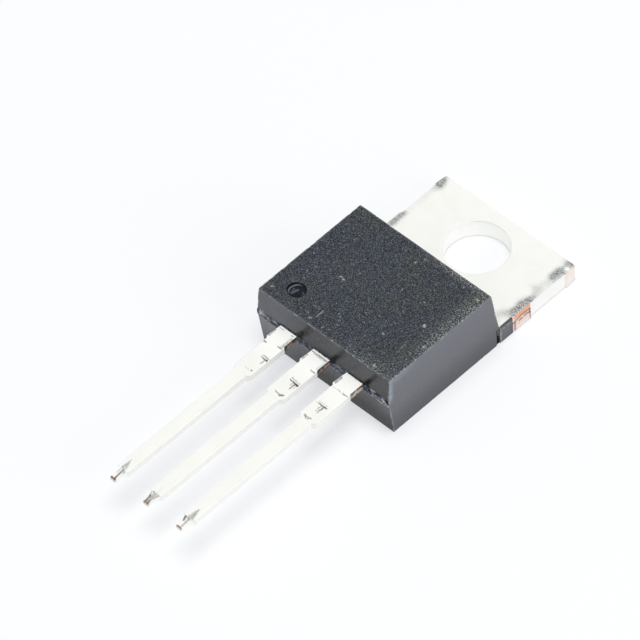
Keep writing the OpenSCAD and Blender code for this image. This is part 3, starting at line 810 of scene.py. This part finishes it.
    # a few larger pale grains and handling scratches on top
    grains = (
        (3.69, -7.75, 3.74, -7.84, 0.09, 0.06, 1.0), (-2.2, -8.35, -2.19, -8.36, 0.06, 0.06, 1.0),
        (-1.96, -8.42, -1.9, -8.4, 0.06, 0.06, 0.9), (4.74, -9.0, 4.75, -9.01, 0.07, 0.07, 0.9),
        (0.19, -4.55, 0.2, -4.56, 0.06, 0.06, 0.6), (-4.62, -11.65, -4.5, -11.58, 0.06, 0.05, 0.5),
        (3.55, -11.98, 3.75, -12.05, 0.08, 0.07, 0.7), (2.38, -9.86, 2.42, -9.85, 0.05, 0.05, 0.6),
        (4.6, -4.2, 4.7, -4.24, 0.07, 0.07, 0.6), (-1.42, -11.85, -1.4, -11.9, 0.06, 0.06, 0.6),
        (-1.22, -10.98, -1.2, -11.62, 0.03, 0.03, 0.4), (-1.9, -11.03, -1.42, -11.06, 0.03, 0.03, 0.2),
        (3.8, -9.4, 3.92, -10.3, 0.04, 0.03, 0.2),
    )
    flecks = np.where(on_top, strokes(block[:, 0], block[:, 1], grains), 0)
    flecks *= 0.6 + 0.6 * scatter_noise(points, 0.12, 24)

    # walls lean in above and below the lead level, and the back foot splays out
    z = points[:, 2].copy()
    above, below = np.clip(z - flash_high, 0, None), np.clip(lead_z - z, 0, None)
    front_in = (above + below) * front_draft
    foot = (lead_z - np.clip(z, tab_t, lead_z)) * foot_draft
    back_in = (lead_z - tab_t) * foot_draft - foot + np.clip(z - lead_z, 0, None) * back_draft
    side_in = (above + below) * side_draft
    share = (points[:, 1] - front_y) / length
    points[:, 1] += front_in * (1 - share) - back_in * share
    points[:, 0] *= 1 - side_in / half_w

    # flash film at the front: a thin crumbling ledge at the lead level
    x = points[:, 0]
    ragged = scatter_noise(points * [0.5, 0.2, 1], 0.15, 31)
    fine = scatter_noise(points, 0.07, 32)
    ledge = fade(z, flash_low - 0.08 * ragged, flash_low + 0.03) * fade(z, flash_high + 0.06, flash_high)
    ledge = np.where(at_front, ledge, 0)
    points[:, 1] -= ledge * (0.03 + 0.03 * ragged + 0.03 * (fine - 0.5))
    ends_of_film = fade(np.abs(x), 3.1, 3.5)
    ridge = np.exp(-((z - flash_low - 0.04 * ragged) / 0.03) ** 2) * (0.85 + 0.15 * ends_of_film)
    thick = fade(scatter_noise(points, 0.16, 33), 0.45, 0.58)
    ridge += (0.35 + 0.65 * ends_of_film) * thick * ledge
    crumbs = np.where(at_front, np.clip(ridge, 0, 1) * fade(ragged, 0.2, 0.55), 0)
    film = ((4.15, 2.50, 4.35, 2.36, 0.07, 0.08, 1.0), (4.35, 2.36, 4.68, 2.40, 0.08, 0.07, 1.0),
            (-4.80, 2.92, -4.62, 2.94, 0.11, 0.09, 0.9), (-4.36, 2.88, -4.20, 2.74, 0.08, 0.07, 0.7))
    crumbs = np.maximum(crumbs, np.where(at_front, strokes(x, z, film), 0))
    blots = fade(scatter_noise(points, 0.2, 34), 0.52, 0.66) * (0.1 + 0.9 * ends_of_film)
    blots = np.where(at_front, ledge * blots, 0)

    # painted reflections of each lead's dark side, running up and to the right of it, and a painted contact
    # shadow along the top of each lead
    soot_and_shade = np.zeros(len(points))
    for root_x, strength in ((-1.92, 0.85), (0.68, 0.85), (3.24, 1.0)):
        wipe = ((root_x, flash_high + 0.04, root_x + 0.36, flash_high + 0.60, 0.20, 0.15, strength),
                (root_x + 0.28, flash_high + 0.5, root_x + 0.85, flash_high + 1.40,
                 0.15, 0.13, 0.5 * strength),
                (root_x - 1.28, flash_high + 0.04, root_x + 0.25, flash_high + 0.06, 0.08, 0.11, 1.0))
        soot_and_shade = np.maximum(soot_and_shade, strokes(x, z, wipe))
    # painted shade along the front wall's bottom edge, where it mirrors the shadowed floor
    soot_and_shade = np.where(at_front, np.maximum(soot_and_shade * (0.75 + 0.35 * fine), 0.5 * fade(z, 0.12, 0.03)), 0)

    # the notch beside each skin of the tab's sides
    notch = (block[:, 1] > notch_y + 0.002) & (block[:, 2] < notch_z + 0.002)
    notch &= np.abs(block[:, 0]) > half_w - 0.2
    points[:, 0] -= np.where(notch, (0.06 + 0.14 * fade(z, 0.1, 0.5)) * np.sign(block[:, 0]), 0)
    # the notch is painted dark as shade
    soot_and_shade = np.maximum(soot_and_shade, notch)

    grained = np.where(on_top & (square > 0.612), fade(gaps[:, 1], 0.0, 0.05), 0)
    marks = {
        "grained": grained, "coarse": coarse * on_top, "flecks": flecks, "wear_and_highlight": wear_and_highlight, "scuff_and_highlight": scuff_and_highlight,
        "height": z / body_h, "front": at_front.astype(float), "left": fade(x, -0.8, -3.6),
        "ledge": ledge, "crumbs": crumbs, "blots": blots, "soot_and_shade": soot_and_shade,
        "pit": pit, "pit_ring": pit_ring, "pit_light": pit_light}
    return points, quads, marks


def side_skin(side):
    """The moulded skin over one side of the tab: a thin rounded block, darker along its top, with a
    painted highlight line below that, a painted highlight up its end by the body's back wall and a
    painted shadow at its end by the copper. Below the lip's height its inner side reaches in under the tab."""
    low = (min(side * (neck_x - 0.02), side * tie_x), back_y, 0.0)
    high = (max(side * (neck_x - 0.02), side * tie_x), skin_end, tab_t)
    steps = (0.03, 0.05, 0.04)
    block, quads, ends = brick_shell(*(spread(stretch) for stretch in zip(low, high, steps)))
    points, outward = round_edges(block, low, high, 0.02)
    under_lip = (ends[:, 0] == -side) & (block[:, 2] < lip_z)
    points[:, 0] = np.where(under_lip, side * (header_open_x - 0.004), points[:, 0])
    lumps = scatter_noise(points, 0.12, 41)
    z, from_end = block[:, 2], skin_end - block[:, 1]
    # painted highlights: a line below the top, and up the end by the body's back wall
    wear_and_highlight = 0.6 * np.exp(-((z - 1.03 - 0.05 * lumps) / 0.06) ** 2) * fade(from_end, 0.1, 0.3)
    wear_and_highlight = np.maximum(wear_and_highlight, 0.5 * fade(block[:, 1] - back_y, 0.25, 0.05))
    # darker along the top, and a painted shadow at the end by the copper
    soot_and_shade = fade(z, 1.10, 1.17) + 0.5 * fade(from_end, 0.3, 0.0) * fade(z, 0.9, 0.7)
    return points, quads, {"wear_and_highlight": wear_and_highlight * (0.5 + lumps), "soot_and_shade": np.clip(soot_and_shade, 0, 1) * 0.4,
                           "height": 0.25 + z / body_h}


def moulding_compound():
    """Black epoxy moulding compound. Its silica filler makes it dark blue-grey and matte where
    the cavity was eroded, with pale grains lying open. Where the cavity was ground it is slate
    with a satin sheen that mirrors the leads softly."""
    material, tree, shader = new_material("moulding_compound")
    tone = remap(tree, grain(tree, 0.7, detail=3), 0.3, 0.7)
    fine = grain(tree, 0.07, detail=3, roughness=0.7)
    satin = grain(tree, 0.16, detail=4, roughness=0.65)

    # ground walls, paler upwards with painted light; the front wall is darker with painted shade, darkest
    # low down where it mirrors the shadowed floor, and paler at its left end with a painted reflection of
    # the bright floor
    wall = blend(tree, mark(tree, "height"), "#545459", "#686A73")
    front = blend(tree, remap(tree, mark(tree, "height"), 0.25, 0.9), "#18151B", "#47484C")
    front = blend(tree, mark(tree, "left"), front, blend(tree, tone, "#5C5E64", "#64666E"))
    wall = blend(tree, mark(tree, "front"), wall, front)
    wall = blend(tree, remap(tree, satin, 0.52, 0.8, 0, 0.4), wall, "#7A7C86")
    # scuffs on the right side, with a painted highlight down its front edge
    wall = blend(tree, times(tree, mark(tree, "scuff_and_highlight"), remap(tree, fine, 0.3, 0.6)), wall, "#98A2AE")

    # eroded top: pale grains on a dark ground, coarser and thicker towards one side. The filler's
    # grains are about 0.02 to 0.05 mm, and are drawn 0.07 to 0.13 mm wide to show
    coarse = mark(tree, "coarse")
    oily = remap(tree, grain(tree, 2.6, detail=1), 0.5, 0.7)
    top = blend(tree, remap(tree, fine, 0.43, 0.68), blend(tree, oily, "#161A21", "#1C1E18"), "#62686F")
    grit = remap(tree, grain(tree, 0.13, detail=2), 0.66, 0.74)
    top = blend(tree, grit, top, "#8B928F")
    thick = remap(tree, grain(tree, 0.09, detail=3, roughness=0.7), 0.53, 0.60)
    top = blend(tree, times(tree, thick, coarse), top, "#B0B2A8")
    top = blend(tree, times(tree, mark(tree, "flecks"), remap(tree, fine, 0.3, 0.55)), top, "#D5D2C4")

    colour = blend(tree, mark(tree, "grained"), wall, top)
    # worn edges paler, together with painted highlight lines along some edges
    worn_and_highlit = times(tree, mark(tree, "wear_and_highlight"), remap(tree, grain(tree, 0.10, detail=3), 0.38, 0.58))
    colour = blend(tree, worn_and_highlit, colour, "#B4B5B2")
    # painted shade: reflections of the leads' dark sides, contact lines, the notches and the skins' dark
    # lines
    colour = blend(tree, mark(tree, "soot_and_shade"), colour, "#1A120D")
    flakes = remap(tree, grain(tree, 0.11, detail=2, stretch=(0.6, 1, 1)), 0.42, 0.62)
    film = blend(tree, flakes, "#141822", "#59647C")
    film = blend(tree, mark(tree, "blots"), film, "#0C0E12")
    colour = blend(tree, mark(tree, "ledge"), colour, film)
    chalk = remap(tree, grain(tree, 0.07, detail=2), 0.44, 0.54)
    colour = blend(tree, times(tree, mark(tree, "crumbs"), chalk), colour, "#DADDE2")
    # painted shade: the dimple's floor is dark as if deep, with its painted shadow ring and painted
    # highlights
    colour = blend(tree, mark(tree, "pit"), colour, "#1C2026")
    colour = blend(tree, mark(tree, "pit_ring"), colour, "#020303")
    colour = blend(tree, mark(tree, "pit_light"), colour, "#787E85")
    tree.links.new(colour, shader.inputs["Base Color"])
    shader.inputs["IOR"].default_value = 1.4
    black = add(tree, "Math", {0: mark(tree, "soot_and_shade"), 1: mark(tree, "pit")}, operation="MAXIMUM").outputs[0]
    black = add(tree, "Math", {0: black, 1: mark(tree, "blots")}, operation="MAXIMUM").outputs[0]
    sheen = remap(tree, mark(tree, "height"), 0.15, 0.55, 0.22, 0.5)
    sheen = times(tree, remap(tree, black, 0, 1, 1, 0.3), sheen)
    tree.links.new(sheen, shader.inputs["Specular IOR Level"])
    dull = blend(tree, mark(tree, "grained"), blend(tree, satin, "#787878", "#909090"), "#D8D8D8")
    dull = blend(tree, mark(tree, "ledge"), dull, "#C8C8C8")
    tree.links.new(blend(tree, mark(tree, "pit"), dull, "#D0D0D0"), shader.inputs["Roughness"])
    pits = times(tree, fine, mark(tree, "grained"))
    bump = add(tree, "Bump", {"Height": pits}, Strength=0.8, Distance=0.02 * MM)
    tree.links.new(bump.outputs[0], shader.inputs["Normal"])
    return material


shells = [body_surface(), side_skin(-1), side_skin(1)]
starts = np.cumsum([0] + [len(shell[0]) for shell in shells])
body = make_piece(
    "epoxy_body",
    np.concatenate([shell[0] for shell in shells]),
    np.concatenate([shell[1] + start for shell, start in zip(shells, starts)]).tolist(),
    moulding_compound(),
    {key: np.concatenate([shell[2].get(key, np.zeros(len(shell[0]))) for shell in shells])
     for key in shells[0][2]})
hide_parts("moulded_body")

# ---------------------------------------------------------------------------------------
# Studio: the part lies on a white sheet of paper in a white room. One soft lamp hangs above it
# and a weaker one stands to its right, and a long lens looks on from the front right.
# ---------------------------------------------------------------------------------------


def seen_rays(tree):
    """1 for a ray from the camera, off a mirror or through glass, and 0 for any other."""
    path = add(tree, "LightPath")
    seen = path.outputs["Is Camera Ray"]
    for kind in ("Is Glossy Ray", "Is Transmission Ray"):
        seen = add(tree, "Math", {0: seen, 1: path.outputs[kind]}, operation="MAXIMUM").outputs[0]
    return seen


def white_paper():
    """Matte white paper. Seen directly or mirrored it is lit white that keeps the soft, slightly
    blue shadow under the part. From below it lets the view through."""
    material = bpy.data.materials.new("white_paper")
    material.use_nodes = True
    tree = material.node_tree
    tree.nodes.clear()
    matte = add(tree, "BsdfDiffuse", Color=linear("#F4F5F7"))
    lit = add(tree, "BsdfDiffuse", Color=linear("#A6A6A6"))
    glow = add(tree, "Emission", Color=linear("#FAFCFF"), Strength=0.61)
    white = add(tree, "AddShader", {0: lit.outputs[0], 1: glow.outputs[0]})
    paper = add(tree, "MixShader", {0: seen_rays(tree), 1: matte.outputs[0], 2: white.outputs[0]})
    clear = add(tree, "BsdfTransparent")
    side = add(tree, "NewGeometry")
    both = add(tree, "MixShader", {0: side.outputs["Backfacing"], 1: paper.outputs[0], 2: clear.outputs[0]})
    output = tree.nodes.new("ShaderNodeOutputMaterial")
    tree.links.new(both.outputs[0], output.inputs["Surface"])
    return material


paper_half = 1.5                    # metres
paper_z = -0.02 * MM                # just clear of the part's back
sheet = bpy.data.meshes.new("paper_sweep")
corners = ((-1, -1), (1, -1), (1, 1), (-1, 1))
sheet.from_pydata([(x * paper_half, y * paper_half, paper_z) for x, y in corners], [], [(0, 1, 2, 3)])
sheet.materials.append(white_paper())
floor = bpy.data.objects.new("paper_sweep", sheet)
bpy.context.scene.collection.objects.link(floor)

world = bpy.data.worlds.new("white_room")
bpy.context.scene.world = world
world.use_nodes = True
room = world.node_tree
room.nodes.clear()
soft = add(room, "Background", Color=linear("#FCFDFF"), Strength=0.38)
white = add(room, "Background", Color=linear("#FCFDFF"), Strength=1.0)
mixed = add(room, "MixShader", {0: seen_rays(room), 1: soft.outputs[0], 2: white.outputs[0]})
room_out = room.nodes.new("ShaderNodeOutputWorld")
room.links.new(mixed.outputs[0], room_out.inputs["Surface"])


def softbox(name, lean_right, lean_back, distance, width, depth, watts):
    """A flat area lamp that faces the part, leaning from straight overhead by two angles."""
    lamp = bpy.data.lights.new(name, "AREA")
    lamp.shape = "RECTANGLE"
    lamp.size = width
    lamp.size_y = depth
    lamp.energy = watts
    box = bpy.data.objects.new(name, lamp)
    box.rotation_euler = (-np.radians(lean_back), np.radians(lean_right), 0)
    box.location = box.rotation_euler.to_matrix() @ Vector((0, 0, distance))
    box.visible_glossy = False
    bpy.context.scene.collection.objects.link(box)


# leans in degrees, distance and size in metres, power in watts
softbox("overhead_softbox", 3.5, 0, 0.40, 0.22, 0.15, 0.98)
softbox("right_softbox", 64, 3, 0.40, 0.25, 0.25, 0.40)

# camera: a long lens from the front right and above, tilted a little
azimuth, elevation, roll = np.radians((47.25, 50.14, -4.2))
aim = Vector((-2.73, -9.81, 1.5)) * MM
distance = 495.1 * MM
back = Vector((np.sin(azimuth) * np.cos(elevation),
               -np.cos(azimuth) * np.cos(elevation), np.sin(elevation)))
level = Vector((np.cos(azimuth), np.sin(azimuth), 0))
upright = back.cross(level)
right = level * np.cos(roll) + upright * np.sin(roll)
up = upright * np.cos(roll) - level * np.sin(roll)
lens = bpy.data.cameras.new("long_lens")
lens.sensor_width = 36
lens.lens = 499.8
lens.clip_start = 0.01
camera = bpy.data.objects.new("long_lens", lens)
turned = Matrix((right, up, back)).transposed().to_4x4()
camera.matrix_world = Matrix.Translation(aim + back * distance) @ turned
bpy.context.scene.collection.objects.link(camera)
bpy.context.scene.camera = camera
bpy.context.scene.view_settings.view_transform = "Standard"
